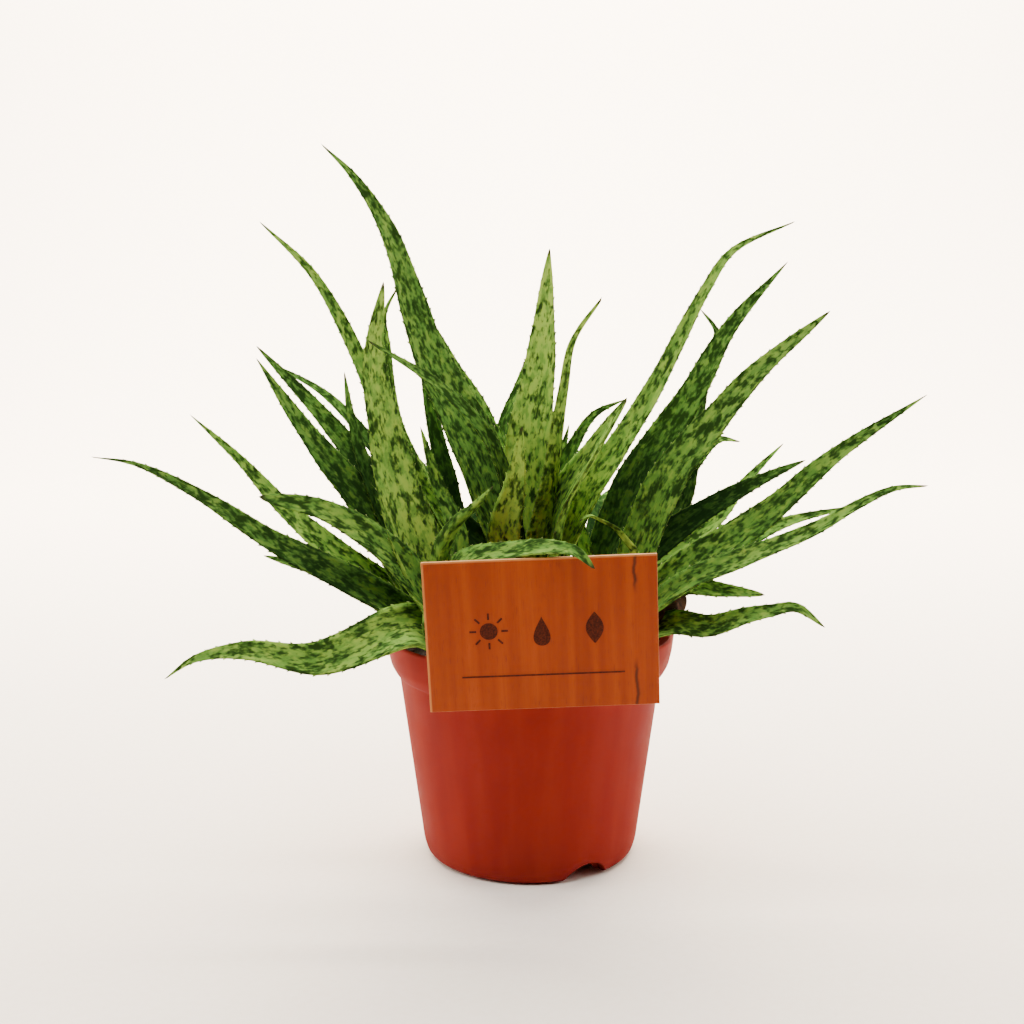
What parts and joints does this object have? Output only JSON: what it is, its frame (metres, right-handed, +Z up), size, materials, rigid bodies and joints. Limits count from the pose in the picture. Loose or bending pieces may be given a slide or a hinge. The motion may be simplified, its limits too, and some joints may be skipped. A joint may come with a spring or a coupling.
{
  "type": "potted spider aloe",
  "caption": "Crowded rosettes of long toothed fleshy leaves, mottled dark green, in soil in a tapered nursery pot with a flared collar and a flat label plate at its front.",
  "frame": {"origin": "middle of the pot's foot, on the surface that it stands on", "axes": "+Z up; -Y is the front, where the label faces; +X to the right of the label"},
  "size_m": [0.341, 0.202, 0.295],
  "materials": {
    "pot": "satin",
    "soil": "matte",
    "stem": "matte",
    "leaf": "satin",
    "dry": "matte",
    "label": "satin",
    "stake": "satin"
  },
  "bodies": {
    "root": {"back_left_leaf_1": "leaf", "back_left_leaf_2": "leaf", "back_left_leaf_3": "leaf", "back_left_leaf_4": "leaf", "back_left_leaf_5": "leaf", "back_left_leaf_6": "leaf", "back_left_leaf_7": "leaf", "back_left_leaf_8": "leaf", "back_left_stem": "stem", "back_right_leaf_1": "leaf", "back_right_leaf_2": "leaf", "back_right_leaf_3": "leaf", "back_right_leaf_4": "leaf", "back_right_leaf_5": "leaf", "back_right_leaf_6": "leaf", "back_right_leaf_7": "leaf", "back_right_leaf_8": "leaf", "back_right_leaf_9": "leaf", "back_right_stem": "stem", "dry_leaf": "dry", "front_left_leaf_1": "leaf", "front_left_leaf_2": "leaf", "front_left_leaf_3": "leaf", "front_left_leaf_4": "leaf", "front_left_leaf_5": "leaf", "front_left_leaf_6": "leaf", "front_left_leaf_7": "leaf", "front_left_stem": "stem", "front_right_leaf_1": "leaf", "front_right_leaf_2": "leaf", "front_right_leaf_3": "leaf", "front_right_leaf_4": "leaf", "front_right_leaf_5": "leaf", "front_right_leaf_6": "leaf", "front_right_leaf_7": "leaf", "front_right_stem": "stem", "label": "label", "label_stake": "stake", "left_leaf_1": "leaf", "left_leaf_2": "leaf", "left_leaf_3": "leaf", "left_leaf_4": "leaf", "left_leaf_5": "leaf", "left_stem": "stem", "middle_leaf_1": "leaf", "middle_leaf_10": "leaf", "middle_leaf_11": "leaf", "middle_leaf_2": "leaf", "middle_leaf_3": "leaf", "middle_leaf_4": "leaf", "middle_leaf_5": "leaf", "middle_leaf_6": "leaf", "middle_leaf_7": "leaf", "middle_leaf_8": "leaf", "middle_leaf_9": "leaf", "middle_stem": "stem", "pot": "pot", "soil": "soil"}
  },
  "joints": []
}
